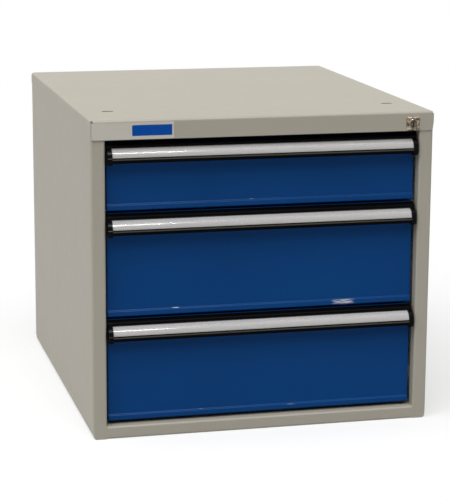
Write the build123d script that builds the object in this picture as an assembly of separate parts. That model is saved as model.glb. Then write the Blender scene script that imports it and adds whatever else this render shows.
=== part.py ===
"""Sheet-metal cabinet with three drawers on full-extension ball slides and one cylinder lock.

Millimetres, +Z up, the fronts face -Y. Everything is modelled with the face of the jambs at y = 0
and is moved along Y when it is written, so that the origin ends up under the middle of the part.
"""
from build123d import *
import math
import os

os.makedirs("parts", exist_ok=True)

# ---------------------------------------------------------------- casing
width = 490.0
sheet = 1.5
bend = 3.0  # outer radius of every fold in the casing
jamb_width = 20.0
jamb_lip = 15.0
fascia_height = 27.0
taper_across = 1.4  # how far the lower end corners of the fascia are cut
taper_up = 12.0
rear_flange_width = 20.0
bottom_flange_width = 20.0
foot_lean = 2.2  # the sides lean in just above their lower fold
foot_rise = 12.0
foot_bend = 4.5
lean_bend = 12.0
rail_height = 18.0
rail_lip = 15.0
ledge_hole = 4.5
ledge_hole_inset = 12.0  # from the side of the opening
ledge_hole_back = 16.0  # from the face of the jambs
slot_length = 17.0
slot_width = 8.5
slot_inset = 40.0  # from the side of the casing
slot_back = 88.0  # from the face of the jambs
smallest_bend = 0.2  # inside a fold
relief = 0.5  # gap at the cut corners of the folded sheet
seat_gap = 0.3  # running clearance between pieces that slide on each other

# ---------------------------------------------------------------- drawers
floor_gap = 5.0  # ledge to the lowest front
top_pitch = 100.0
middle_pitch = 150.0
bottom_pitch = 150.0
front_gap = 3.5  # above each front
side_gap = 3.5  # each side of each front
front_recess = 13.0  # behind the face of the jambs
front_sheet = 1.2
front_return = 16.0
front_bend = 2.0
kick_height = 7.5
kick_rise = 1.5
kick_step = 2.5  # how far the lower strip of the front stands forward
kick_bend = 1.6
front_edge_radius = 1.2

box_sheet = 1.0
box_lift = 8.0  # bottom of the front to the bottom of the box
box_drop = 10.5  # top of the front to the top of the box
box_rear_gap = 2.8  # rear end of the slides to the rear of the box
box_bend = 2.0
hem_height = 8.0

# ---------------------------------------------------------------- grips
grip_gap = 2.5  # each side, to the opening
grip_proud = 5.0  # how far the lip stands in front of the jambs
grip_drop = 0.5  # below the top of the front
grip_height = 28.0
grip_wall = 1.8
grip_back_wall = 2.2
grip_back_height = 20.0
label_base = 20.5  # top of the grip to the lower edge of the label
label_radius = 13.0
label_turn = 80.0  # degrees: the label is upright at its lower edge and almost level at its upper edge
label_recess = 0.8  # how far the label face lies behind the lip
brow_back = 0.2  # the narrow band above the label
brow_drop = 4.4
ridge_back = 1.3  # the edge between that band and the top of the grip
ridge_drop = 3.3
lip_depth = 0.3  # from the label face back to the top of the lip
bead_drop = 2.8  # lower edge of the label to the bead that stands out furthest
edge_round = 0.5
lip_wall = 0.9  # how much thinner the foot of the lip is than the wall behind the label
label_sheet = 0.5
cover_sheet = 1.0
label_gap = 0.1  # air between the label and its cover
cap_width = 7.0
cap_round = 0.8
cap_foot = 2.5  # how far the end caps reach below the grip
cap_bead_drop = 0.8

# ---------------------------------------------------------------- slides
slide_width = 12.7
slide_height = 45.6
slide_length = 500.0
slide_stop = 20.0  # what is left of the length when the drawer is fully out
slide_lift = 4.0  # bottom of the box to the bottom of the slide
slide_start = 48.0  # behind the face of the jambs
slide_sheet = 1.2
slide_overhang = 6.0  # how far the outer member runs on behind the others
slide_rear_gap = 3.0  # rear end of the outer member to the rear flanges
ball = 3.5
ball_gap = 0.15
cage_sheet = 1.0
cage_length = 240.0
balls_per_row = 6
ball_hole_gap = 0.2

# ---------------------------------------------------------------- uprights and fixings
upright_width = 40.0
upright_foot = 8.0
upright_bend = 2.5
upright_front_inset = 27.0  # ends of the slides to the middle of the uprights
upright_rear_inset = 38.0
upright_drop = 10.0
screw = 4.0
screw_hole_gap = 0.1
screw_head = 8.0
screw_head_height = 2.2
screw_head_round = 1.0
slide_screw_head = 7.5
slide_screw_head_height = 1.1
slide_screw_length = 8.0
cam_screw = 3.0
cam_screw_head = 7.0
cam_screw_length = 8.0
rivet_head = 6.0
rivet_head_height = 1.0
back_screw_length = 8.0
back_screws_per_side = 4
back_screw_inset = 10.0
back_screw_end = 40.0
grip_screw_spacing = 100.0
grip_screws = 4

# ---------------------------------------------------------------- label plate and lock
plate_length = 114.0
plate_height = 23.0
plate_sheet = 0.6
plate_inset = 1.5
plate_round = 1.0

lock_inset = 31.0  # from the side of the casing
lock_drop = 17.0  # from the top
escutcheon = 19.0
escutcheon_thickness = 2.0
escutcheon_radius = 1.5
escutcheon_bevel = 0.8
lock_boss = 13.0
lock_boss_height = 1.2
lock_boss_round = 0.5
barrel = 16.0
barrel_length = 26.0
barrel_hole_gap = 0.2
groove_depth = 0.8
groove_gap = 0.1
clip_sheet = 1.2
clip_width = 20.0
clip_height = 19.0
clip_mouth = 16.2
plug = 10.4
plug_gap = 0.3
plug_tail = 6.0
plug_tail_gap = 0.15
plug_set_back = 0.2
keyway_width = 1.4
keyway_height = 6.5
keyway_depth = 15.0
cam = 20.0
cam_thickness = 2.5
cam_throw = 7.0
cam_pin = 4.0
cam_pin_end = 1.0  # how far the pin runs on behind the bar
lock_turn = 90.0

bar_thickness = 3.0
bar_width = 11.5
bar_back = 34.0
bar_side_gap = 3.0  # bar to the inner face of the casing side
bar_bottom = 40.0
bar_end = 5.5  # half height of the tab that holds the slot for the cam pin
tab_overlap = 3.5  # how far the tab runs on past the slot towards the lock
pin_slot_gap = 0.5
lug_height = 11.0
lug_reach = 10.0  # how far a lug stands into the gap beside the drawer box
stud = 8.0
stud_lift = 10.0  # top of the slide to the middle of the stud
stud_gap = 0.8  # lug to stud, along the travel
stud_reach = 8.7
stud_round = 0.8
stud_clearance = 1.95
guide_height = 16.0
guide_wall = 3.2
guide_lip = 1.2
guide_hook = 0.8
lower_guide = 60.0
upper_guide = 308.0

# ---------------------------------------------------------------- worked out from the above
drawers = {"bottom": bottom_pitch, "middle": middle_pitch, "top": top_pitch}
height = rail_height + floor_gap + sum(drawers.values()) + fascia_height
slide_end = slide_start + slide_length
depth = slide_end + slide_overhang + slide_rear_gap + 2 * sheet  # face of the jambs to the back
upright_front = slide_start + upright_front_inset
upright_rear = slide_end - upright_rear_inset
side = width / 2
inner_side = side - sheet
opening = side - jamb_width  # half the clear width between the jambs
grip_half = opening - grip_gap
front_half = opening - side_gap
box_half = opening - slide_width
fascia_bottom = height - fascia_height
jamb_top = height - bend - relief
rear_plane = depth - sheet  # the sides' rear flanges; the back panel lies on them
front_back = front_recess + front_return
box_front = front_recess + front_sheet
box_back = slide_end - box_rear_gap
travel = slide_length - slide_stop
overall_depth = grip_proud + depth + screw_head_height
centre_shift = grip_proud - overall_depth / 2
hole = screw + 2 * screw_hole_gap
grip_screw_drop = box_drop + hem_height / 2  # top of the front to the screws, through the box's hem

lock_x = side - lock_inset
lock_z = height - lock_drop
bar_outer = inner_side - bar_side_gap
bar_inner = bar_outer - bar_width
bar_travel = 2 * cam_throw * math.sin(math.radians(lock_turn / 2))
pin_rise = bar_travel / 2
cam_y = barrel_length + barrel_hole_gap
bar_rear = bar_back + bar_thickness


# ---------------------------------------------------------------- ways of making sheet and bar
def slab(x, y, z):
    """A box between the two values given for each axis."""
    size = [abs(b - a) for a, b in (x, y, z)]
    middle = [(a + b) / 2 for a, b in (x, y, z)]
    return Pos(*middle) * Box(*size)


def section_plane(axis, start, end):
    """The plane of a section that is extruded along an axis from start to end."""
    if axis == "x":
        return Plane(origin=(start, 0, 0), x_dir=(0, 1, 0), z_dir=(1, 0, 0))
    if axis == "y":
        return Plane(origin=(0, end, 0), x_dir=(1, 0, 0), z_dir=(0, -1, 0))
    return Plane(origin=(0, 0, start), x_dir=(1, 0, 0), z_dir=(0, 0, 1))


def prism(points, axis, start, end, radii=0):
    """A closed outline, its corners rounded, extruded along an axis."""
    outline = FilletPolyline(*points, radius=radii, close=True)
    return extrude(section_plane(axis, start, end) * make_face(outline), end - start)


def sheet_outline(path, thickness, radius):
    """The outline of a folded sheet. The path is its one face, the other lies to its left.

    The radius is that of the outside of every fold, or a list with one for each fold.
    """
    bends = radius if isinstance(radius, list) else [radius] * (len(path) - 2)
    runs = []
    for start, end in zip(path, path[1:]):
        length = math.dist(start, end)
        runs.append(((end[0] - start[0]) / length, (end[1] - start[1]) / length))
    normals = [(-run[1], run[0]) for run in runs]
    first = (path[0][0] + normals[0][0] * thickness, path[0][1] + normals[0][1] * thickness)
    other_face = [first]
    near_radii, far_radii = [0], [0]
    for corner, one, two, run, turn, outer in zip(path[1:], normals, normals[1:], runs, runs[1:], bends):
        share = thickness / (1 + one[0] * two[0] + one[1] * two[1])
        other_face.append((corner[0] + (one[0] + two[0]) * share, corner[1] + (one[1] + two[1]) * share))
        turns_left = run[0] * turn[1] - run[1] * turn[0] > 0
        inner = max(outer - thickness, smallest_bend)
        near_radii.append(outer if turns_left else inner)
        far_radii.append(inner if turns_left else outer)
    last = (path[-1][0] + normals[-1][0] * thickness, path[-1][1] + normals[-1][1] * thickness)
    other_face.append(last)
    near_radii.append(0)
    far_radii.append(0)
    return list(path) + other_face[::-1], near_radii + far_radii[::-1]


def folded(path, axis, start, end, thickness=sheet, radius=bend):
    """A sheet folded along a path of points and extruded along an axis."""
    points, radii = sheet_outline(path, thickness, radius)
    return prism(points, axis, start, end, radii)


def rod(diameter, start, end, along="y"):
    """A round bar from a point to the value end on the axis that it runs along."""
    axis = "xyz".index(along)
    length = end - start[axis]
    direction = [0, 0, 0]
    direction[axis] = math.copysign(1, length)
    face = Plane(origin=start, z_dir=tuple(direction)) * Circle(diameter / 2)
    return extrude(face, abs(length))


def both_sides(solid):
    """A piece at the right and its mirror image at the left."""
    return [solid, mirror(solid, about=Plane.YZ)]


def save(name, solids):
    """Write one piece, or a group of like pieces, as one STEP file."""
    group = solids if isinstance(solids, list) else [solids]
    moved = []
    for piece in group:
        for solid in piece.solids():
            moved.append(Pos(0, centre_shift, 0) * solid)
    export_step(moved[0] if len(moved) == 1 else Compound(children=moved), f"parts/{name}.step")


# ---------------------------------------------------------------- casing wrap
def top_fold(rear):
    """One end of the top sheet, folded down into the fascia, or into the rear flange."""
    face = depth if rear else -sheet
    inward = -1 if rear else 1
    reach = 6 * bend
    path = [(face + inward * reach, height), (face, height), (face, fascia_bottom)]
    if rear:
        path = path[::-1]
    return path


def make_casing_wrap():
    foot = side - foot_lean
    outline = [(foot, 0), (side, foot_rise), (side, height), (-side, height), (-side, foot_rise), (-foot, 0)]
    outline_bends = [foot_bend, lean_bend, bend, bend, lean_bend, foot_bend]
    skirt = [(side - bottom_flange_width, 0)] + outline + [(bottom_flange_width - side, 0)]
    wrap = folded(skirt, "y", bend, rear_plane - bend, sheet, outline_bends)

    reach = 3 * bend
    plain_jamb = [(-side, reach), (-side, 0), (-opening, 0)]
    lipped_jamb = plain_jamb + [(-opening, jamb_lip)]
    rear_flange = [(rear_flange_width - side, rear_plane), (-side, rear_plane), (-side, rear_plane - reach)]
    for left_piece in (
        folded(plain_jamb, "z", 0, rail_height),
        folded(lipped_jamb, "z", rail_height, jamb_top),
        folded(rear_flange, "z", 0, jamb_top),
    ):
        wrap += both_sides(left_piece)

    flat_half = side - bend
    lip_half = opening - relief
    fascia_path = top_fold(rear=False)
    wrap += folded(fascia_path, "x", -flat_half, flat_half)
    wrap += folded(fascia_path + [(jamb_lip - sheet, fascia_bottom)], "x", -lip_half, lip_half)
    wrap += folded(top_fold(rear=True), "x", -flat_half, flat_half)
    for y in ((-sheet, 0), (rear_plane, depth)):
        wrap += slab((-side, side), y, (fascia_bottom, height - bend))
    feet_bends = [foot_bend, lean_bend, 0, 0, lean_bend, foot_bend]
    wrap &= prism(outline, "y", -2 * sheet, depth + sheet, feet_bends)

    corner = [(side, fascia_bottom), (side, fascia_bottom + taper_up), (side - taper_across, fascia_bottom)]
    for y in ((-sheet, 0), (rear_plane, depth)):
        wrap -= both_sides(extrude(section_plane("y", *y) * make_face(Polyline(*corner, close=True)), sheet))

    slot = Pos(side - slot_inset, slot_back, height - 2 * sheet)
    wrap -= both_sides(extrude(slot * SlotOverall(slot_length, slot_width), 3 * sheet))
    wrap -= rod(barrel + 2 * barrel_hole_gap, (lock_x, -2 * sheet, lock_z), 2 * sheet)
    wrap -= back_screw_holes()
    return wrap


# ---------------------------------------------------------------- back panel and its screws
def back_screw_places():
    step = (fascia_bottom - 2 * back_screw_end) / (back_screws_per_side - 1)
    levels = [back_screw_end + step * index for index in range(back_screws_per_side)]
    return [(edge * (side - back_screw_inset), level) for edge in (-1, 1) for level in levels]


def back_screw_holes():
    return [rod(hole, (x, rear_plane - 2 * sheet, z), depth + sheet) for x, z in back_screw_places()]


def make_back_panel():
    panel = slab((-side + bend, side - bend), (rear_plane, depth), (sheet, fascia_bottom - relief))
    return panel - back_screw_holes()


def make_back_screws():
    screws = []
    for x, z in back_screw_places():
        head = rod(screw_head, (x, depth, z), depth + screw_head_height)
        head = fillet(head.edges().group_by(Axis.Y)[-1], screw_head_round)
        screws.append(head + rod(screw, (x, depth, z), depth - back_screw_length))
    return screws


# ---------------------------------------------------------------- bottom panel with the front rail
def make_bottom_panel():
    floor_rear = rear_plane - sheet
    path = [
        (floor_rear, sheet), (floor_rear, rail_height), (0, rail_height), (0, 0), (rail_lip, 0),
    ]
    panel = folded(path, "x", -opening, opening)
    wing_y = (jamb_lip, floor_rear - bend + sheet)
    wing = slab((opening, inner_side), wing_y, (rail_height - sheet, rail_height))
    wing += slab((inner_side - sheet, inner_side), wing_y, (foot_rise + sheet, rail_height))
    panel += both_sides(wing)
    drilled = rod(ledge_hole, (opening - ledge_hole_inset, ledge_hole_back, 0), rail_height + sheet, "z")
    return panel - both_sides(drilled - slab((-side, side), (0, depth), (0, rail_height - 2 * sheet)))


# ---------------------------------------------------------------- uprights that carry the slides
def drawer_levels():
    """The lowest point of each drawer's front, from the bottom drawer up."""
    levels, level = {}, rail_height + floor_gap
    for name, pitch in drawers.items():
        levels[name] = level
        level += pitch
    return levels


levels = drawer_levels()


def slide_middle_height(name):
    return levels[name] + box_lift + slide_lift + slide_height / 2


def make_upright(y):
    foot = upright_width / 2 + upright_foot
    leg = upright_width / 2
    path = [
        (-inner_side, y + foot), (-inner_side, y + leg), (-opening - sheet, y + leg),
        (-opening - sheet, y - leg), (-inner_side, y - leg), (-inner_side, y - foot),
    ]
    upright = folded(path, "z", rail_height, height - upright_drop, sheet, upright_bend)
    for name in drawers:
        upright -= rod(hole, (-inner_side, y, slide_middle_height(name)), -opening + sheet, "x")
    return upright


def make_slide_screws():
    screws = []
    seat = box_half + slide_width - slide_sheet
    for name in drawers:
        for y in (upright_front, upright_rear):
            middle = (seat, y, slide_middle_height(name))
            shank = rod(screw, middle, seat + slide_screw_length, "x")
            screws += both_sides(shank + rod(slide_screw_head, middle, seat - slide_screw_head_height, "x"))
    return screws


# ---------------------------------------------------------------- slides, for the right side
middle_half = slide_height / 2 - slide_sheet - ball - 2 * ball_gap  # outer face of the middle member
inner_half = middle_half - slide_sheet - ball - 2 * ball_gap  # outer face of the inner member
inner_reach = 5.5  # how far the inner member's flanges stand out from the box
middle_web = 7.0  # box side to the web of the middle member
middle_flange = 2.0  # box side to the edges of the middle member's flanges
outer_flange = 2.5
outer_cage_web = 9.0
outer_cage_flange = 3.2
inner_cage_web = inner_reach + seat_gap
inner_cage_sheet = middle_web - inner_reach - 2 * seat_gap
inner_cage_flange = 1.8


def channel(half, web, flange, thickness, y, z):
    """A channel section along Y. Web and flange are distances from the side of the drawer box."""
    inward = 1 if flange < web else -1
    x_web = box_half + web
    x_far = x_web + thickness if inward > 0 else x_web
    x_near = x_far - thickness * inward
    low = [(box_half + flange, -half), (x_far, -half), (x_far, half), (box_half + flange, half)]
    high = [
        (box_half + flange, half - thickness), (x_near, half - thickness),
        (x_near, thickness - half), (box_half + flange, thickness - half),
    ]
    radii = [0, thickness, thickness, 0, 0, 0, 0, 0]
    points = [(x, level + z) for x, level in low + high]
    return prism(points, "y", *y, radii)


def slide_screw_bores(name):
    z = slide_middle_height(name)
    return [rod(hole, (box_half, y, z), opening + sheet, "x") for y in (upright_front, upright_rear)]


def make_slide_outer(name):
    y = (slide_start, slide_end + slide_overhang)
    web = slide_width - slide_sheet
    member = channel(slide_height / 2, web, outer_flange, slide_sheet, y, slide_middle_height(name))
    return both_sides(member - slide_screw_bores(name))


def make_slide_middle(name):
    y = (slide_start, slide_end)
    z = slide_middle_height(name)
    return both_sides(channel(middle_half, middle_web, middle_flange, slide_sheet, y, z))


def rivet_places(name):
    y_places = [slide_start + slide_length * share for share in (0.1, 0.5, 0.9)]
    return [(y, slide_middle_height(name)) for y in y_places]


def make_slide_inner(name):
    y = (slide_start, slide_end)
    member = channel(inner_half, 0, inner_reach, slide_sheet, y, slide_middle_height(name))
    for place_y, place_z in rivet_places(name):
        member -= rod(hole, (box_half - sheet, place_y, place_z), opening, "x")
    return both_sides(member)


def make_ball_cage(name, half, web, flange, thickness):
    """A cage strip and its balls. The balls run between the members above and below the flanges."""
    middle = (slide_start + slide_end) / 2
    z = slide_middle_height(name)
    y = (middle - cage_length / 2, middle + cage_length / 2)
    strip = channel(half + thickness / 2, web, flange, thickness, y, z)
    balls = []
    pitch = cage_length / balls_per_row
    ball_x = box_half + flange + ball / 2 + 0.3 * thickness
    for row in (-1, 1):
        for index in range(balls_per_row):
            place = Pos(ball_x, y[0] + pitch * (index + 0.5), z + row * half)
            strip -= place * Cylinder(ball / 2 + ball_hole_gap, 2 * thickness)
            balls.append(place * Sphere(ball / 2))
    group = []
    for solid in [strip] + balls:
        group += both_sides(solid)
    return group


def make_outer_cage(name):
    half = middle_half + ball_gap + ball / 2
    return make_ball_cage(name, half, outer_cage_web, outer_cage_flange, cage_sheet)


def make_inner_cage(name):
    half = inner_half + ball_gap + ball / 2
    return make_ball_cage(name, half, inner_cage_web, inner_cage_flange, inner_cage_sheet)


def make_slide_buffers():
    buffers = []
    for name in drawers:
        z = slide_middle_height(name)
        block = slab(
            (box_half + outer_flange, opening - slide_sheet),
            (slide_end + seat_gap, slide_end + slide_overhang),
            (z - inner_half, z + inner_half),
        )
        buffers += both_sides(block)
    return buffers


# ---------------------------------------------------------------- drawer front, a folded pan
def front_top(name):
    return levels[name] + drawers[name] - front_gap


def make_drawer_front(name):
    low, high = levels[name], front_top(name)
    path = [
        (front_back, high), (front_recess, high), (front_recess, low + kick_height + kick_rise),
        (front_recess - kick_step, low + kick_height), (front_recess - kick_step, low), (front_back, low),
    ]
    points, radii = sheet_outline(path, front_sheet, front_bend)
    corners = len(path)
    outer_radii = [0, front_bend, kick_bend, kick_bend, front_bend, 0]
    pan = prism(points[:corners], "x", -front_half, front_half, outer_radii)
    for end in (0, -1):
        rim = pan.faces().sort_by(Axis.X)[end].edges()
        front_rim = rim.filter_by(lambda edge: edge.center().Y < front_back - front_sheet / 2)
        pan = fillet(front_rim, front_edge_radius)
    inside = points[corners:][::-1]
    inside[0] = (front_back + sheet, inside[0][1])
    inside[-1] = (front_back + sheet, inside[-1][1])
    inner_bend = front_bend - front_sheet
    inner_radii = [0, inner_bend, kick_bend, kick_bend - front_sheet, inner_bend, 0]
    pan -= prism(inside, "x", front_sheet - front_half, front_half - front_sheet, inner_radii)
    for x in grip_screw_places():
        pan -= rod(hole, (x, 0, high - grip_screw_drop), box_front + box_sheet)
    return pan


# ---------------------------------------------------------------- drawer box: a tray and its end walls
tray_half = box_half - box_sheet  # inner face of the tray's sides
hem_half = tray_half - box_sheet  # the sides' top edges are folded over inwards


def box_heights(name):
    return levels[name] + box_lift, front_top(name) - box_drop


def make_drawer_box(name):
    low, high = box_heights(name)
    path = [(-box_half, high), (-box_half, low), (box_half, low), (box_half, high)]
    tray = folded(path, "y", box_front, box_back, box_sheet, box_bend)
    hem_y = (box_front + box_sheet, box_back - box_sheet)
    tray += both_sides(slab((hem_half, tray_half), hem_y, (high - hem_height, high)))
    for y, z in rivet_places(name) + [(stud_y, stud_height(name))]:
        tray -= both_sides(rod(hole, (hem_half, y, z), opening, "x"))
    return tray


def make_drawer_ends(name):
    """The front and rear walls, welded in between the tray's sides. Their tops are folded over too."""
    low, high = box_heights(name)
    walls = []
    for face, inward in ((box_front, 1), (box_back, -1)):
        fold, inside = face + inward * box_sheet, face + 2 * inward * box_sheet
        wall = slab((-tray_half, tray_half), (face, fold), (low + box_bend, high))
        foot = box_half - box_bend  # clear of the tray's folds
        wall += slab((-foot, foot), (face, fold), (low + box_sheet, low + box_bend))
        wall += slab((-hem_half, hem_half), (fold, inside), (high - hem_height, high))
        walls.append(wall)
    for x in grip_screw_places():
        walls[0] -= rod(hole, (x, 0, front_top(name) - grip_screw_drop), box_front + 2 * box_sheet)
    return walls


# ---------------------------------------------------------------- grip, its end caps, label and cover
def grip_screw_places():
    return [(index - (grip_screws - 1) / 2) * grip_screw_spacing for index in range(grip_screws)]


class Grip:
    """Heights and arcs of one grip. The label lies round a quarter of a barrel."""

    def __init__(self, name):
        self.top = front_top(name) - grip_drop
        self.bottom = self.top - grip_height
        self.label_bottom = self.top - label_base
        self.face = label_recess - grip_proud
        self.centre = self.face + label_radius

    def arc_point(self, inset, angle):
        radius = label_radius - inset
        turn = math.radians(angle)
        return (self.centre - radius * math.cos(turn), self.label_bottom + radius * math.sin(turn))

    def arc(self, inset, start, end):
        points = [self.arc_point(inset, angle) for angle in (start, (start + end) / 2, end)]
        return ThreePointArc(*points)

    def extruded(self, curves, x):
        edges = [edge for curve in curves for edge in curve.edges()]
        return extrude(section_plane("x", *x) * make_face(edges), x[1] - x[0])

    def front_line(self, inset, bead_below, bottom):
        """The edges of the front, from the top of the back round the label and down to the lip."""
        nose = self.arc_point(0, label_turn)
        ridge = (nose[0] + ridge_back, self.top - ridge_drop)
        brow = (nose[0] + brow_back, self.top - brow_drop)
        lip_top = (self.face - lip_depth, self.label_bottom)
        bead = (-grip_proud, self.label_bottom - bead_below)
        edge = (edge_round - grip_proud, bottom + edge_round)
        lip = [lip_top, bead, edge, (2 * edge_round - grip_proud, bottom)]
        edges = [Polyline((front_recess, self.top), ridge, brow, nose)]
        if inset:
            edges.append(Line(nose, self.arc_point(inset, label_turn)))
        edges.append(self.arc(inset, label_turn, 0))
        edges.append(Line(self.arc_point(inset, 0), lip_top))
        edges.append(Polyline(*lip))
        return edges, lip[-1]


def make_grip(name):
    grip = Grip(name)
    recess = cover_sheet + label_gap + label_sheet
    edges, lip_end = grip.front_line(recess, bead_drop, grip.bottom)
    wall = recess + grip_wall
    inner_low, inner_high = grip.arc_point(wall, 0), grip.arc_point(wall, 90)
    back_face = front_recess - grip_back_wall
    back_low = grip.top - grip_back_height
    edges.append(Polyline(lip_end, (inner_low[0] - lip_wall, grip.bottom), inner_low))
    edges.append(grip.arc(wall, 0, 90))
    edges.append(Polyline(
        inner_high, (back_face, inner_high[1]),
        (back_face, back_low), (front_recess, back_low), (front_recess, grip.top),
    ))
    end = grip_half - cap_width
    solid = grip.extruded(edges, (-end, end))
    screw_z = front_top(name) - grip_screw_drop
    for x in grip_screw_places():
        solid -= rod(hole, (x, back_face - sheet, screw_z), front_recess + sheet)
    return solid


def make_grip_caps(name):
    grip = Grip(name)
    foot = grip.bottom - cap_foot
    edges, lip_end = grip.front_line(0, cap_bead_drop, foot)
    back_low = grip.top - grip_back_height
    back = [(front_recess - grip_back_wall, foot), (front_recess, back_low), (front_recess, grip.top)]
    edges.append(Polyline(lip_end, *back))
    cap = grip.extruded(edges, (grip_half - cap_width, grip_half))
    rim = cap.faces().sort_by(Axis.X)[-1].edges()
    front_rim = rim.filter_by(lambda edge: edge.center().Y < front_recess - cap_round)
    return both_sides(fillet(front_rim, cap_round))


def make_label_layer(name, inset, thickness):
    grip = Grip(name)
    end = grip_half - cap_width
    back = inset + thickness
    edges = [
        grip.arc(inset, label_turn, 0),
        Line(grip.arc_point(inset, 0), grip.arc_point(back, 0)),
        grip.arc(back, 0, label_turn),
        Line(grip.arc_point(back, label_turn), grip.arc_point(inset, label_turn)),
    ]
    return grip.extruded(edges, (-end, end))


# ---------------------------------------------------------------- screws and rivets of a drawer
def make_drawer_fasteners(name):
    pieces = []
    seat = box_front + 2 * box_sheet
    z = front_top(name) - grip_screw_drop
    for x in grip_screw_places():
        shank = rod(screw, (x, seat, z), front_recess - grip_back_wall)
        pieces.append(shank + rod(screw_head, (x, seat, z), seat + screw_head_height))
    inside, outside = tray_half, box_half + slide_sheet
    for y, level in rivet_places(name):
        rivet = rod(screw, (inside, y, level), outside, "x")
        rivet += rod(rivet_head, (inside, y, level), inside - rivet_head_height, "x")
        rivet += rod(rivet_head, (outside, y, level), outside + rivet_head_height, "x")
        pieces += both_sides(rivet)
    return pieces


# ---------------------------------------------------------------- lock
stud_y = bar_rear + stud_gap + stud / 2


def stud_height(name):
    return slide_middle_height(name) + slide_height / 2 + stud_lift


def make_catch_stud(name):
    z = stud_height(name)
    pin = rod(stud, (box_half, stud_y, z), box_half + stud_reach, "x")
    pin = fillet(pin.edges().group_by(Axis.X)[-1], stud_round)
    tail = rod(screw, (box_half, stud_y, z), tray_half, "x")
    return pin + tail + rod(rivet_head, (tray_half, stud_y, z), tray_half - rivet_head_height, "x")


def make_lock_housing():
    face = -sheet - escutcheon_thickness
    half = escutcheon / 2
    plate = slab((lock_x - half, lock_x + half), (face, -sheet), (lock_z - half, lock_z + half))
    plate = fillet(plate.edges().filter_by(Axis.Y), escutcheon_radius)
    plate = chamfer(plate.edges().group_by(Axis.Y)[0], escutcheon_bevel)
    boss = rod(lock_boss, (lock_x, face, lock_z), face - lock_boss_height)
    boss = fillet(boss.edges().group_by(Axis.Y)[0], lock_boss_round)
    body = rod(barrel, (lock_x, -sheet, lock_z), barrel_length)
    groove_half = barrel / 2 - groove_depth
    for edge in (-1, 1):
        near, far = lock_x + edge * groove_half, lock_x + edge * barrel
        body -= slab((near, far), (0, clip_sheet + groove_gap), (lock_z - barrel, lock_z + barrel))
    bore = rod(plug + 2 * plug_gap, (lock_x, 2 * face, lock_z), barrel_length + sheet)
    return plate + boss + body - bore


def make_lock_clip():
    half = clip_width / 2
    low = fascia_bottom + bend + relief
    clip = slab((lock_x - half, lock_x + half), (0, clip_sheet), (low, low + clip_height))
    mouth = barrel / 2 - groove_depth + groove_gap / 2
    return clip - slab((lock_x - mouth, lock_x + mouth), (0, clip_sheet), (low - relief, low + clip_mouth))


def make_lock_plug():
    face = -sheet - escutcheon_thickness - lock_boss_height
    body = rod(plug, (lock_x, face + plug_set_back, lock_z), cam_y)
    half = plug_tail / 2
    square = (lock_x - half, lock_x + half), (lock_z - half, lock_z + half)
    body += slab(square[0], (cam_y, cam_y + cam_thickness), square[1])
    tapped = cam_screw + 2 * screw_hole_gap
    body -= rod(tapped, (lock_x, cam_y - cam_screw_length, lock_z), cam_y + cam_thickness)
    across = (lock_x - keyway_width / 2, lock_x + keyway_width / 2)
    upright = (lock_z - keyway_height / 2, lock_z + keyway_height / 2)
    return body - slab(across, (face, face + keyway_depth), upright)


def make_lock_cam():
    disc = rod(cam, (lock_x, cam_y, lock_z), cam_y + cam_thickness)
    half = plug_tail / 2 + plug_tail_gap
    disc -= slab(
        (lock_x - half, lock_x + half), (cam_y, cam_y + cam_thickness), (lock_z - half, lock_z + half),
    )
    pin = rod(cam_pin, (lock_x + pin_rise, cam_y + cam_thickness, lock_z + pin_rise), bar_rear + cam_pin_end)
    return disc + pin


def make_cam_screw():
    seat = cam_y + cam_thickness
    head = rod(cam_screw_head, (lock_x, seat, lock_z), seat + screw_head_height)
    return head + rod(cam_screw, (lock_x, seat, lock_z), seat - cam_screw_length + screw_hole_gap)


def make_lock_bar():
    thickness = (bar_back, bar_rear)
    tab = (lock_z + pin_rise - bar_end, lock_z + pin_rise + bar_end)
    bar = slab((bar_inner, bar_outer), thickness, (bar_bottom, tab[1]))
    slot_half = cam_pin / 2 + pin_slot_gap
    bar += slab((lock_x + pin_rise - slot_half - tab_overlap, bar_inner), thickness, tab)
    reach = (lock_x + pin_rise - slot_half, lock_x + cam_throw + slot_half)
    middle = lock_z + pin_rise
    bar -= slab(reach, thickness, (middle - slot_half, middle + slot_half))
    for name in drawers:
        low = stud_height(name) + stud / 2 + stud_clearance
        bar += slab((opening - lug_reach, bar_inner), thickness, (low, low + lug_height))
    return bar


def make_bar_guides():
    """Open clips on the side of the casing. The bar snaps in past two small lips."""
    guides = []
    near = bar_inner - seat_gap
    back_gap, far = bar_outer + seat_gap, inner_side
    outer_y = (bar_back - seat_gap - guide_wall, bar_rear + seat_gap + guide_wall)
    inner_y = (bar_back - seat_gap, bar_rear + seat_gap)
    for level in (lower_guide, upper_guide):
        z = (level - guide_height / 2, level + guide_height / 2)
        clip = slab((near - guide_lip, far), outer_y, z)
        clip -= slab((near, back_gap), inner_y, z)
        clip -= slab((near - guide_lip, near), (inner_y[0] + guide_hook, inner_y[1] - guide_hook), z)
        guides.append(clip)
    return guides


# ---------------------------------------------------------------- fascia label plate
def make_label_plate():
    left = plate_inset - side
    low = fascia_bottom + (fascia_height - bend - plate_height) / 2
    plate = slab((left, left + plate_length), (-sheet - plate_sheet, -sheet), (low, low + plate_height))
    return fillet(plate.edges().filter_by(Axis.Y), plate_round)


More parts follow.
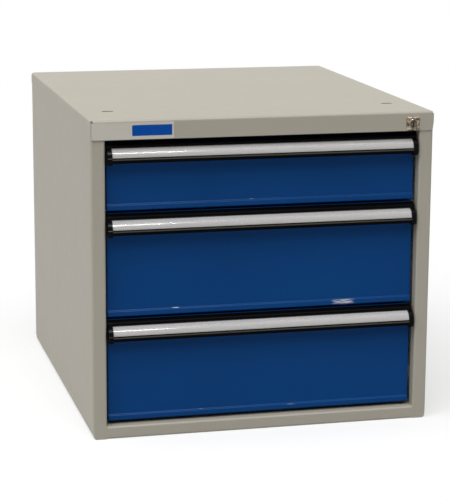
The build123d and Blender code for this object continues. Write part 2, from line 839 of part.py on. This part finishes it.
# ---------------------------------------------------------------- write every piece
save("casing_wrap", make_casing_wrap())
save("back_panel", make_back_panel())
save("back_screws", make_back_screws())
save("bottom_panel", make_bottom_panel())
for end, place in (("front", upright_front), ("rear", upright_rear)):
    left_upright = make_upright(place)
    save(f"upright_{end}_left", left_upright)
    save(f"upright_{end}_right", mirror(left_upright, about=Plane.YZ))
save("slide_screws", make_slide_screws())
save("slide_buffers", make_slide_buffers())
save("fascia_plate", make_label_plate())
save("lock_housing", make_lock_housing())
save("lock_clip", make_lock_clip())
save("lock_plug", make_lock_plug())
save("lock_cam", make_lock_cam())
save("cam_screw", make_cam_screw())
save("lock_bar", make_lock_bar())
save("bar_guides", make_bar_guides())
for name in drawers:
    save(f"slide_outer_{name}", make_slide_outer(name))
    save(f"slide_middle_{name}", make_slide_middle(name))
    save(f"slide_inner_{name}", make_slide_inner(name))
    save(f"outer_cage_{name}", make_outer_cage(name))
    save(f"inner_cage_{name}", make_inner_cage(name))
    save(f"drawer_front_{name}", make_drawer_front(name))
    save(f"drawer_box_{name}", make_drawer_box(name))
    save(f"drawer_ends_{name}", make_drawer_ends(name))
    save(f"grip_{name}", make_grip(name))
    save(f"grip_caps_{name}", make_grip_caps(name))
    save(f"label_strip_{name}", make_label_layer(name, cover_sheet + label_gap, label_sheet))
    save(f"label_cover_{name}", make_label_layer(name, 0, cover_sheet))
    save(f"drawer_fasteners_{name}", make_drawer_fasteners(name))
    save(f"catch_stud_{name}", make_catch_stud(name))
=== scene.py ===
"""The looks of a three-drawer sheet-metal cabinet, in metres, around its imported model."""
import math

import bmesh
import bpy
from mathutils import Matrix, Vector


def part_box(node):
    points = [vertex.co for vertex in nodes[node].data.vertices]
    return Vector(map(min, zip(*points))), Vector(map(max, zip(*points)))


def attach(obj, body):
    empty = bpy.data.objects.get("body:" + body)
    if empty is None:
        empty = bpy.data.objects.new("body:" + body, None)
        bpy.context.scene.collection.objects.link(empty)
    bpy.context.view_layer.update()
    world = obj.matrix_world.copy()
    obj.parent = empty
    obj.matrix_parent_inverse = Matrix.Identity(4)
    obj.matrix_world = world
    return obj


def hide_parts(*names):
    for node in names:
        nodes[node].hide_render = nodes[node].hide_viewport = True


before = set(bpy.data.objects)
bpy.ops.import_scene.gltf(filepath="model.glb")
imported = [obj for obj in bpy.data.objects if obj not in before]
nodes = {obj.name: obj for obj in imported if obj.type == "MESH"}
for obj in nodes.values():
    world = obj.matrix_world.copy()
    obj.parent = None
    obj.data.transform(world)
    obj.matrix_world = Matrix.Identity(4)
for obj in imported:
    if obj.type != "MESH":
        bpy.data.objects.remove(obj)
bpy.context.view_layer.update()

drawers = ("top", "middle", "bottom")
bpy.ops.object.select_all(action="DESELECT")

# ---------------------------------------------------------------- camera
# The photograph looks down a little on the cabinet from the left of its front. Heading and dip
# were found from the corners of the casing, and the lens from how fast its edges run together.
camera_place = Vector((-0.670, -2.760, 0.819))
heading = math.radians(13.88)
dip = math.radians(12.26)
roll = math.radians(0.31)
lens_over_frame_height = 1879 / 500

forward = Vector((math.sin(heading) * math.cos(dip), math.cos(heading) * math.cos(dip), -math.sin(dip)))
level_right = Vector((math.cos(heading), -math.sin(heading), 0))
level_up = level_right.cross(forward)
right = level_right * math.cos(roll) + level_up * math.sin(roll)
up = level_up * math.cos(roll) - level_right * math.sin(roll)

camera_data = bpy.data.cameras.new("camera")
camera_data.sensor_fit = "VERTICAL"
camera_data.sensor_height = 36.0
camera_data.lens = camera_data.sensor_height * lens_over_frame_height
camera = bpy.data.objects.new("camera", camera_data)
camera.matrix_world = Matrix.Translation(camera_place) @ Matrix((right, up, -forward)).transposed().to_4x4()
bpy.context.scene.collection.objects.link(camera)
bpy.context.scene.camera = camera
bpy.context.scene.view_settings.view_transform = "Standard"


# ---------------------------------------------------------------- light
# Soft studio light: an even room, a wide soft ceiling, a panel at the left, and a small tube in
# front of the cabinet whose reflection lies as a streak on the curved label covers.
def panel(name, place, target, size, watts):
    lamp_data = bpy.data.lights.new(name, "AREA")
    lamp_data.shape = "RECTANGLE"
    lamp_data.size, lamp_data.size_y = size
    lamp_data.energy = watts
    lamp = bpy.data.objects.new(name, lamp_data)
    direction = Vector(target) - Vector(place)
    lamp.matrix_world = Matrix.Translation(place) @ direction.to_track_quat("-Z", "Y").to_matrix().to_4x4()
    bpy.context.scene.collection.objects.link(lamp)
    return lamp


panel("left_panel", place=(-2.4, -0.6, 1.3), target=(0, 0, 0.2), size=(1.6, 1.6), watts=6)
sky_data = bpy.data.lights.new("soft_ceiling", "SUN")
sky_data.energy = 3.1
sky_data.angle = math.radians(70)
sky = bpy.data.objects.new("soft_ceiling", sky_data)
sky_direction = Vector((0.26, 0.36, -1))
sky.matrix_world = sky_direction.to_track_quat("-Z", "Y").to_matrix().to_4x4()
bpy.context.scene.collection.objects.link(sky)
streak_lamp = panel("streak_lamp", place=(-0.08, -1.8, 2.3), target=(-0.08, -0.28, 0.3), size=(1.0, 0.35),
                    watts=80)
streak_lamp.visible_diffuse = False


def seen_past(tree):
    """1 on a ray that the camera, a glossy or a clear surface sends, 0 on a ray of plain light."""
    path = tree.nodes.new("ShaderNodeLightPath")
    seen = path.outputs["Is Camera Ray"]
    for kind in ("Is Glossy Ray", "Is Transmission Ray"):
        either = tree.nodes.new("ShaderNodeMath")
        either.operation = "MAXIMUM"
        tree.links.new(seen, either.inputs[0])
        tree.links.new(path.outputs[kind], either.inputs[1])
        seen = either.outputs[0]
    return seen


def room_light(ambient):
    """An even room for light, and white where a ray looks past the cabinet."""
    world = bpy.data.worlds.new("room")
    world.use_nodes = True
    tree = world.node_tree
    tree.nodes.clear()
    even = tree.nodes.new("ShaderNodeBackground")
    even.inputs["Strength"].default_value = ambient
    white = tree.nodes.new("ShaderNodeBackground")
    white.inputs["Color"].default_value = (1, 1, 1, 1)
    mix = tree.nodes.new("ShaderNodeMixShader")
    tree.links.new(seen_past(tree), mix.inputs[0])
    tree.links.new(even.outputs[0], mix.inputs[1])
    tree.links.new(white.outputs[0], mix.inputs[2])
    output = tree.nodes.new("ShaderNodeOutputWorld")
    tree.links.new(mix.outputs[0], output.inputs["Surface"])
    bpy.context.scene.world = world


room_light(0.12)


# ---------------------------------------------------------------- casing
# The casing wrap, the bottom panel with the front rail and the back panel are folded from steel
# sheet and powder coated in a warm light grey. The coat is satin, with a very fine orange peel.
class Wire:
    """A socket in a material's node tree. Arithmetic on it adds the Math nodes."""

    def __init__(self, tree, socket=None):
        self.tree = tree
        self.socket = socket

    def node(self, kind, settings, inputs, output=0):
        """A node of that kind: its settings first, then the values or links of its sockets."""
        made = self.tree.nodes.new("ShaderNode" + kind)
        for name, value in settings.items():
            if name == "stops":
                ramp = made.color_ramp.elements
                while len(ramp) < len(value):
                    ramp.new(1.0)
                for element, (position, shade) in zip(ramp, value):
                    element.position = position
                    element.color = (*shade, 1) if isinstance(shade, tuple) else (shade, shade, shade, 1)
            else:
                setattr(made, name, value)
        for name, value in inputs.items():
            if isinstance(value, Wire):
                self.tree.links.new(value.socket, made.inputs[name])
            else:
                made.inputs[name].default_value = value
        return Wire(self.tree, made.outputs[output])

    def math(self, operation, first, second):
        return self.node("Math", {"operation": operation}, {0: first, 1: second})

    def level(self):
        """The height of this place."""
        return self.node("SeparateXYZ", {}, {"Vector": self}, "Z")

    def across(self):
        """How far to the right this place lies."""
        return self.node("SeparateXYZ", {}, {"Vector": self}, "X")

    def near(self, value, reach):
        """1 where this is the value, falling to 0 at the reach on either side of it."""
        off = self.math("ABSOLUTE", self - value, 0)
        return self.node("MapRange", {}, {"Value": off, "From Min": reach * 0.5, "From Max": reach,
                                          "To Min": 1.0, "To Max": 0.0})

    def __add__(self, other):
        return self.math("ADD", self, other)

    __radd__ = __add__

    def __mul__(self, other):
        return self.math("MULTIPLY", self, other)

    __rmul__ = __mul__

    def __sub__(self, other):
        return self.math("SUBTRACT", self, other)

    def __rsub__(self, other):
        return self.math("SUBTRACT", other, self)

    def noise(self, scale, detail=3.0):
        """Noise from 0 to 1 on this place, so many waves to the metre."""
        return self.node("TexNoise", {}, {"Vector": self, "Scale": scale, "Detail": detail})

    def stretched(self, x, y, z):
        """This place with each axis scaled, for a grain that runs one way."""
        return self.node("Mapping", {"vector_type": "POINT"}, {"Vector": self, "Scale": (x, y, z)})

    def steps(self, *stops):
        return self.node("ValToRGB", {"stops": stops}, {"Fac": self})

    def between(self, first, second):
        """A colour: first where this is 0, second where it is 1."""
        colours = {6: (*first, 1) if isinstance(first, tuple) else first,
                   7: (*second, 1) if isinstance(second, tuple) else second}
        return self.node("Mix", {"data_type": "RGBA"}, {0: self, **colours}, output=2)

    def bump(self, height_in_mm):
        return self.node("Bump", {}, {"Height": self, "Strength": 1.0, "Distance": height_in_mm / 1000})


def finish_of(name, surface, **fixed):
    """A material: surface(place) gives the sockets that vary, and the fixed ones are numbers."""
    made = bpy.data.materials.new(name)
    made.use_nodes = True
    shader = made.node_tree.nodes["Principled BSDF"]
    place = Wire(made.node_tree).node("TexCoord", {}, {}, "Object")
    for socket, value in {**fixed, **surface(place)}.items():
        target = shader.inputs[socket.replace("_", " ")]
        if isinstance(value, Wire):
            made.node_tree.links.new(value.socket, target)
        else:
            target.default_value = (*value, 1) if isinstance(value, tuple) else value
    return made


def dress(material, *names):
    """Give CAD nodes a material in place of the plain one that they came with."""
    for name in names:
        for slot in nodes[name].material_slots:
            slot.material = material


def grey_coat(place):
    cloud = place.noise(7.0, 2.0)
    speck = place.noise(900.0, 2.0)
    peel = place.noise(420.0, 2.0)
    return {
        "Base_Color": (cloud * 0.7 + speck * 0.3).between((0.418, 0.388, 0.322), (0.456, 0.424, 0.354)),
        "Roughness": place.noise(60.0) * 0.12 + 0.40,
        "Normal": peel.bump(0.03),
    }


casing_coat = finish_of("casing_coat", grey_coat, Specular_IOR_Level=0.2)
dress(casing_coat, "casing_wrap", "bottom_panel", "back_panel")


# ---------------------------------------------------------------- drawer fronts
# Each front is a pan folded from thinner sheet, in a blue satin powder coat. Pale marks along the ridge
# over the kick strip, and a pale patch at one place of the middle drawer, are painted glints drawn as
# bare-metal chips.
def blue_coat(ridge, glint_at):
    """Blue, with painted glints drawn as pale chips along the ridge above the kick strip, and as a pale
    patch at one place.
    """
    def surface(place):
        cloud = place.noise(9.0, 2.0)
        scratch = place.stretched(30.0, 300.0, 300.0).noise(1.0, 2.0)
        # Painted glints: pale chips along the ridge, and a pale patch at one place, in the base colour.
        chips_and_glints = scratch.steps((0.72, 0.0), (0.75, 1.0)) * place.level().near(ridge, 0.0016)
        if glint_at is not None:
            glint_patch = place.across().near(glint_at, 0.018) * place.level().near(ridge - 0.0038, 0.0040)
            glint_streaks = place.stretched(60.0, 500.0, 500.0).noise(1.0, 3.0)
            chips_and_glints = chips_and_glints + glint_patch * glint_streaks.steps((0.40, 0.0), (0.56, 1.0))
        coat = cloud.between((0.0010, 0.048, 0.192), (0.0018, 0.060, 0.234))
        return {
            "Base_Color": chips_and_glints.between(coat, (0.62, 0.63, 0.66)),
            "Roughness": place.noise(70.0) * 0.12 + 0.30,
            "Normal": place.noise(420.0, 2.0).bump(0.03),
        }
    return surface


kick_height = 0.0084
glint_from_middle = 0.12
for drawer in drawers:
    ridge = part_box(f"drawer_front_{drawer}")[0][2] + kick_height
    glint_at = glint_from_middle if drawer == "middle" else None
    front_coat = finish_of(f"front_coat_{drawer}", blue_coat(ridge, glint_at), Specular_IOR_Level=0.08)
    dress(front_coat, f"drawer_front_{drawer}")


# ---------------------------------------------------------------- drawer boxes
# The boxes behind the fronts are trays folded from thin sheet, with front and rear walls welded in.
# They have the grey of the casing, rubbed a little on the floor.
def box_coat(place):
    scuffs = place.stretched(40.0, 6.0, 40.0).noise(1.0, 6.0)
    return {
        "Base_Color": scuffs.between((0.42, 0.40, 0.35), (0.47, 0.45, 0.39)),
        "Roughness": scuffs * 0.15 + 0.36,
        "Normal": place.noise(420.0, 2.0).bump(0.03),
    }


dress(finish_of("box_coat", box_coat), *[f"{piece}_{drawer}" for piece in ("drawer_box", "drawer_ends")
                                         for drawer in drawers])


# ---------------------------------------------------------------- grips
# A grip is a black plastic extrusion over the full width, with a moulded cap at each end. Screws
# through the drawer's front wall hold it.
def extruded_black(lip_top):
    """Black with drawn lines, and a painted highlight as a pale line along the top of the lip, just under
    the label.
    """
    def surface(place):
        lines = place.stretched(4.0, 1500.0, 1500.0).noise(1.0, 2.0)
        # Painted highlight: a pale line in the base colour along the lip under the label.
        painted_lip_highlight = place.level().near(lip_top - 0.0022, 0.0012)
        grain_and_highlight = lines * 0.02 + painted_lip_highlight * 0.9
        return {
            "Base_Color": grain_and_highlight.between((0.0012, 0.0012, 0.0016), (0.080, 0.080, 0.072)),
            "Roughness": lines * 0.1 + 0.16,
            "Normal": lines.bump(0.004),
        }
    return surface


def moulded_black(place):
    grain = place.noise(1400.0, 2.0)
    return {
        "Base_Color": grain.between((0.0022, 0.0022, 0.0026), (0.0035, 0.0035, 0.0040)),
        "Roughness": grain * 0.1 + 0.20,
        "Normal": grain.bump(0.01),
    }


for drawer in drawers:
    lip_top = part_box(f"label_strip_{drawer}")[0][2]
    grip_black = finish_of(f"extruded_black_{drawer}", extruded_black(lip_top), Specular_IOR_Level=0.025)
    dress(grip_black, f"grip_{drawer}")
dress(finish_of("moulded_black", moulded_black, Specular_IOR_Level=0.04),
      *[f"grip_caps_{drawer}" for drawer in drawers])


# ---------------------------------------------------------------- label strips and covers
# A strip of white card lies in each grip under a clear, glossy cover. The card is blank.
def card(foot, top):
    """White card, with painted shade that greys it, with a faint purple painted reflection tint, towards its
    top edge.
    """
    def surface(place):
        fibres = place.noise(700.0, 4.0)
        # Painted shade: the base colour darkens and turns faintly purple towards the card's top edge.
        back = (place.level() - foot) * (1 / (top - foot))
        return {
            "Base_Color": (back * 0.8 + fibres * 0.2).between((0.57, 0.552, 0.525), (0.44, 0.425, 0.437)),
            "Roughness": fibres * 0.1 + 0.75,
        }
    return surface


def clear(place):
    return {"Base_Color": (0.97, 0.98, 0.98), "Alpha": 0.06, "Roughness": place.noise(300.0) * 0.04 + 0.05}


for drawer in drawers:
    card_low, card_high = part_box(f"label_strip_{drawer}")
    label_card = finish_of(f"label_card_{drawer}", card(card_low[2], card_high[2]),
                           Coat_Weight=0.4, Coat_Roughness=0.08, Specular_IOR_Level=0.1)
    dress(label_card, f"label_strip_{drawer}")
dress(finish_of("clear_cover", clear), *[f"label_cover_{drawer}" for drawer in drawers])


# ---------------------------------------------------------------- slides, uprights and fasteners
# Ball slides, uprights, screws, rivets and the lock's bar are bright zinc-plated steel, pressed and
# folded from strip. The balls and their cages are plain steel with a film of grease.
def zinc(place):
    blotch = place.noise(35.0, 4.0)
    return {
        "Base_Color": blotch.between((0.56, 0.57, 0.58), (0.68, 0.69, 0.69)),
        "Roughness": place.noise(180.0) * 0.2 + 0.28,
        "Metallic": 1.0,
    }


def greased_steel(place):
    smear = place.noise(90.0, 3.0)
    return {
        "Base_Color": smear.between((0.45, 0.44, 0.42), (0.60, 0.60, 0.59)),
        "Roughness": smear * 0.2 + 0.18,
        "Metallic": 1.0,
    }


zinc_plate = finish_of("zinc_plate", zinc)
dress(zinc_plate, "upright_front_left", "upright_front_right", "upright_rear_left", "upright_rear_right",
      "slide_screws", "back_screws", "lock_clip", "lock_cam", "cam_screw", "lock_bar")
for drawer in drawers:
    dress(zinc_plate, *[f"{piece}_{drawer}" for piece in (
        "slide_outer", "slide_middle", "slide_inner", "drawer_fasteners", "catch_stud")])
cage_steel = finish_of("cage_steel", greased_steel)
dress(cage_steel, *[f"{side}_cage_{drawer}" for side in ("outer", "inner") for drawer in drawers])


# ---------------------------------------------------------------- back screws
# The back panel is held by two rows of pan-head screws with a cross recess, cut here as deep as
# a number 2 driver goes. The shank runs on through the sheet.
def chosen(piece, domain, wanted):
    """Select the faces, edges or vertices of a piece in edit mode that a test on them wants."""
    bpy.ops.mesh.select_mode(type=domain)
    bpy.ops.mesh.select_all(action="DESELECT")
    mesh = bmesh.from_edit_mesh(piece.data)
    parts = {"FACE": mesh.faces, "EDGE": mesh.edges, "VERT": mesh.verts}[domain]
    for part in parts:
        if wanted(part):
            part.select_set(True)
    mesh.select_flush_mode()
    bmesh.update_edit_mesh(piece.data)


def cross_screw(head, head_height, shank, length):
    """A pan-head screw that stands on its seat at the origin, with its head along +Z."""
    bpy.ops.object.select_all(action="DESELECT")
    bpy.ops.mesh.primitive_cylinder_add(vertices=40, radius=head / 2, depth=head_height,
                                        location=(0, 0, head_height / 2))
    screw = bpy.context.object
    bpy.ops.object.transform_apply(location=True, rotation=True, scale=True)
    bpy.ops.object.mode_set(mode="EDIT")
    chosen(screw, "EDGE", lambda edge: all(point.co.z > head_height * 0.99 for point in edge.verts))
    bpy.ops.mesh.bevel(offset=head_height * 0.5, segments=5, profile=0.6)
    chosen(screw, "FACE", lambda face: face.normal.z < -0.9)
    bpy.ops.mesh.inset(thickness=(head - shank) / 2)
    bpy.ops.mesh.extrude_region_move(TRANSFORM_OT_translate={"value": (0, 0, -length)})
    bpy.ops.mesh.bevel(offset=shank * 0.2, segments=1)
    bpy.ops.object.mode_set(mode="OBJECT")

    arm, slot_width, slot_depth = head * 0.55, head * 0.14, head_height * 0.6
    cutters = []
    for size in ((arm, slot_width), (slot_width, arm)):
        bpy.ops.mesh.primitive_cube_add(size=1, location=(0, 0, head_height))
        cutter = bpy.context.object
        cutter.scale = (*size, 2 * slot_depth)
        bpy.ops.object.transform_apply(location=True, rotation=True, scale=True)
        cutters.append(cutter)
    for cutter in cutters:
        bpy.context.view_layer.objects.active = screw
        cut = screw.modifiers.new("recess", "BOOLEAN")
        cut.object = cutter
        cut.solver = "EXACT"
        bpy.ops.object.modifier_apply(modifier=cut.name)
        bpy.data.objects.remove(cutter)
    bpy.ops.object.select_all(action="DESELECT")
    screw.select_set(True)
    bpy.ops.object.shade_smooth_by_angle(angle=math.radians(35))
    return screw


def placed_copy(pattern, name, matrix, material):
    """A copy with its own mesh, put in its place in the mesh itself."""
    copy = pattern.copy()
    copy.data = pattern.data.copy()
    copy.name = name
    bpy.context.scene.collection.objects.link(copy)
    copy.data.transform(matrix)
    copy.data.materials.clear()
    copy.data.materials.append(material)
    return copy


screw_head = 0.008
screw_head_height = 0.0022
row_low, row_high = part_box("back_screws")
pattern = cross_screw(screw_head, screw_head_height, shank=0.004, length=0.008)
seat = row_high[1] - screw_head_height
turned_back = Matrix.Rotation(math.radians(-90), 4, "X")
screws_per_row = 4
turn_between_screws = 37  # degrees: no two recesses are left at the same turn
back_row = []
for edge in (row_low[0] + screw_head / 2, row_high[0] - screw_head / 2):
    for index in range(screws_per_row):
        share = index / (screws_per_row - 1)
        level = (row_low[2] + screw_head / 2) * (1 - share) + (row_high[2] - screw_head / 2) * share
        spin = Matrix.Rotation(math.radians(turn_between_screws * len(back_row)), 4, "Y")
        place = Matrix.Translation((edge, seat, level)) @ spin @ turned_back
        back_row.append(placed_copy(pattern, f"back_screw_{len(back_row) + 1}", place, zinc_plate))
for screw in back_row:
    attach(screw, "casing")
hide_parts("back_screws")


# ---------------------------------------------------------------- screws and rivets of the drawers
# Four of the same screws hold each front and grip to the drawer box, from inside. Three steel
# rivets a side, with a low round head at each end, hold the slides to the box.
def blind_rivet(head, head_height, shank, grip_length):
    """A rivet along +Z, whose first head lies under the origin and the other past its grip."""
    bpy.ops.object.select_all(action="DESELECT")
    bpy.ops.mesh.primitive_cylinder_add(vertices=32, radius=shank / 2, depth=grip_length,
                                        location=(0, 0, grip_length / 2))
    rivet = bpy.context.object
    bpy.ops.object.transform_apply(location=True, rotation=True, scale=True)
    bpy.ops.object.mode_set(mode="EDIT")
    for level, way in ((0, -1), (grip_length, 1)):
        chosen(rivet, "FACE", lambda face: (face.normal.z * way > 0.9
                                            and abs(face.calc_center_median().z - level) < 1e-5))
        bpy.ops.mesh.extrude_region_move()
        bpy.ops.transform.resize(value=(head / shank, head / shank, 1))
        for step_up, shrink in ((0.5, 0.97), (0.32, 0.80), (0.18, 0.50)):
            step = (0, 0, way * head_height * step_up)
            bpy.ops.mesh.extrude_region_move(TRANSFORM_OT_translate={"value": step})
            bpy.ops.transform.resize(value=(shrink, shrink, 1))
    bpy.ops.object.mode_set(mode="OBJECT")
    bpy.ops.object.shade_smooth_by_angle(angle=math.radians(50))
    return rivet


rivet_head_height = 0.001
rivet_places = (0.1, 0.5, 0.9)
grip_screw_turns = (11, 40, 69, 98)  # degrees, from the left screw to the right one
grip_screw_spacing = 0.1
rivet_grip = 0.0022
screw_seat_depth = 0.002
rivet = blind_rivet(0.006, rivet_head_height, shank=0.004, grip_length=rivet_grip)
for drawer in drawers:
    fixings_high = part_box(f"drawer_fasteners_{drawer}")[1]
    slide_low, slide_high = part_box(f"slide_inner_{drawer}")
    screw_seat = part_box(f"drawer_ends_{drawer}")[0][1] + screw_seat_depth
    screw_level = fixings_high[2] - screw_head / 2
    fixings = []
    for index, turn in enumerate(grip_screw_turns):
        x = (index - (len(grip_screw_turns) - 1) / 2) * grip_screw_spacing
        spin = Matrix.Rotation(math.radians(turn), 4, "Y")
        place = Matrix.Translation((x, screw_seat, screw_level)) @ spin @ turned_back
        fixings.append(placed_copy(pattern, f"grip_screw_{drawer}_{index + 1}", place, zinc_plate))
    rivet_level = (slide_low[2] + slide_high[2]) / 2
    inner_head = fixings_high[0] - rivet_head_height - rivet_grip
    for side, edge in ((-1, "left"), (1, "right")):
        turned_out = Matrix.Rotation(math.radians(side * 90), 4, "Y")
        for index, share in enumerate(rivet_places):
            y = slide_low[1] + (slide_high[1] - slide_low[1]) * share
            place = Matrix.Translation((side * inner_head, y, rivet_level)) @ turned_out
            fixings.append(placed_copy(rivet, f"slide_rivet_{drawer}_{edge}_{index + 1}", place, zinc_plate))
    for fixing in fixings:
        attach(fixing, f"{drawer}_drawer")
    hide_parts(f"drawer_fasteners_{drawer}")
bpy.data.objects.remove(pattern)
bpy.data.objects.remove(rivet)


# ---------------------------------------------------------------- buffers and bar guides
# Black rubber blocks stop the slides at the back of the casing, and natural nylon clips guide the
# lock's bar. Both are moulded and pressed on.
def rubber(place):
    grain = place.noise(800.0, 3.0)
    return {
        "Base_Color": grain.between((0.018, 0.018, 0.018), (0.03, 0.03, 0.03)),
        "Roughness": 0.8,
        "Normal": grain.bump(0.05),
    }


def nylon(place):
    grain = place.noise(500.0, 2.0)
    return {
        "Base_Color": grain.between((0.62, 0.61, 0.56), (0.70, 0.69, 0.64)),
        "Roughness": grain * 0.1 + 0.45,
    }


dress(finish_of("buffer_rubber", rubber), "slide_buffers")
dress(finish_of("guide_nylon", nylon), "bar_guides")


# ---------------------------------------------------------------- lock
# The lock is a zinc casting, nickel plated, held behind the fascia by a clip. Its pale and dark
# mottles are partly tarnish and partly painted reflection. Its plug is a darker colour.
def nickel(dark, pale):
    def surface(place):
        # Pale and dark mottles in the base colour: partly tarnish, partly painted reflection.
        tarnish_and_reflection = place.noise(170.0, 2.0).steps((0.38, 0.0), (0.62, 1.0))
        return {"Base_Color": tarnish_and_reflection.between(dark, pale), "Roughness": tarnish_and_reflection * 0.08 + 0.17}
    return surface


plate_nickel = nickel((0.085, 0.064, 0.045), (0.40, 0.335, 0.255))
plug_nickel = nickel((0.025, 0.020, 0.016), (0.13, 0.11, 0.09))
dress(finish_of("nickel_tarnish_and_reflection", plate_nickel, Metallic=1.0), "lock_housing")
dress(finish_of("darkened_nickel", plug_nickel, Metallic=1.0), "lock_plug")


# ---------------------------------------------------------------- fascia plate
# A thin pale plate is stuck on the fascia at the left. It carries no text, only a plain blue bar.
def satin_plate(place):
    grain = place.stretched(30.0, 1.0, 1800.0).noise(1.0, 2.0)
    return {
        "Base_Color": grain.between((0.56, 0.53, 0.465), (0.63, 0.60, 0.53)),
        "Roughness": grain * 0.12 + 0.38,
    }


def bar_blue(place):
    grain = place.noise(600.0, 2.0)
    return {"Base_Color": grain.between((0.0015, 0.068, 0.35), (0.0025, 0.080, 0.39)), "Roughness": 0.45}


dress(finish_of("satin_plate", satin_plate, Specular_IOR_Level=0.3), "fascia_plate")
plate_low, plate_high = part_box("fascia_plate")
bar_start, bar_end = plate_low[0] + 0.0556, plate_high[0] - 0.0028
bar_foot, bar_top = plate_low[2] + 0.0048, plate_high[2] - 0.0035
bar_thickness = 0.00012
bpy.ops.object.select_all(action="DESELECT")
bpy.ops.mesh.primitive_cube_add(size=1, location=(
    (bar_start + bar_end) / 2, plate_low[1] - bar_thickness / 2, (bar_foot + bar_top) / 2))
blue_bar = bpy.context.object
blue_bar.name = "plate_bar"
blue_bar.scale = (bar_end - bar_start, bar_thickness, bar_top - bar_foot)
bpy.ops.object.transform_apply(location=True, rotation=True, scale=True)
bpy.ops.object.mode_set(mode="EDIT")
chosen(blue_bar, "EDGE", lambda edge: abs(edge.verts[0].co.y - edge.verts[1].co.y) > bar_thickness / 2)
bpy.ops.mesh.bevel(offset=0.0015, segments=5)
bpy.ops.object.mode_set(mode="OBJECT")
blue_bar.data.materials.append(finish_of("bar_blue", bar_blue, Specular_IOR_Level=0.06))
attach(blue_bar, "casing")


# ---------------------------------------------------------------- floor
# A plain white floor. A lift that only a look at it gets makes it show white, and it keeps the
# soft shadow of the cabinet.
def floor_finish(lift):
    made = bpy.data.materials.new("floor_white")
    made.use_nodes = True
    tree = made.node_tree
    tree.nodes.clear()
    matt = tree.nodes.new("ShaderNodeBsdfDiffuse")
    matt.inputs["Color"].default_value = (0.50, 0.50, 0.50, 1)
    glow = tree.nodes.new("ShaderNodeEmission")
    tree.links.new(seen_past(tree), glow.inputs["Strength"])
    glow.inputs["Color"].default_value = (lift, lift, lift, 1)
    both = tree.nodes.new("ShaderNodeAddShader")
    tree.links.new(matt.outputs[0], both.inputs[0])
    tree.links.new(glow.outputs[0], both.inputs[1])
    output = tree.nodes.new("ShaderNodeOutputMaterial")
    tree.links.new(both.outputs[0], output.inputs["Surface"])
    return made


bpy.ops.mesh.primitive_plane_add(size=30, location=(0, 0, 0))
floor = bpy.context.object
floor.name = "floor"
floor.data.materials.append(floor_finish(0.50))
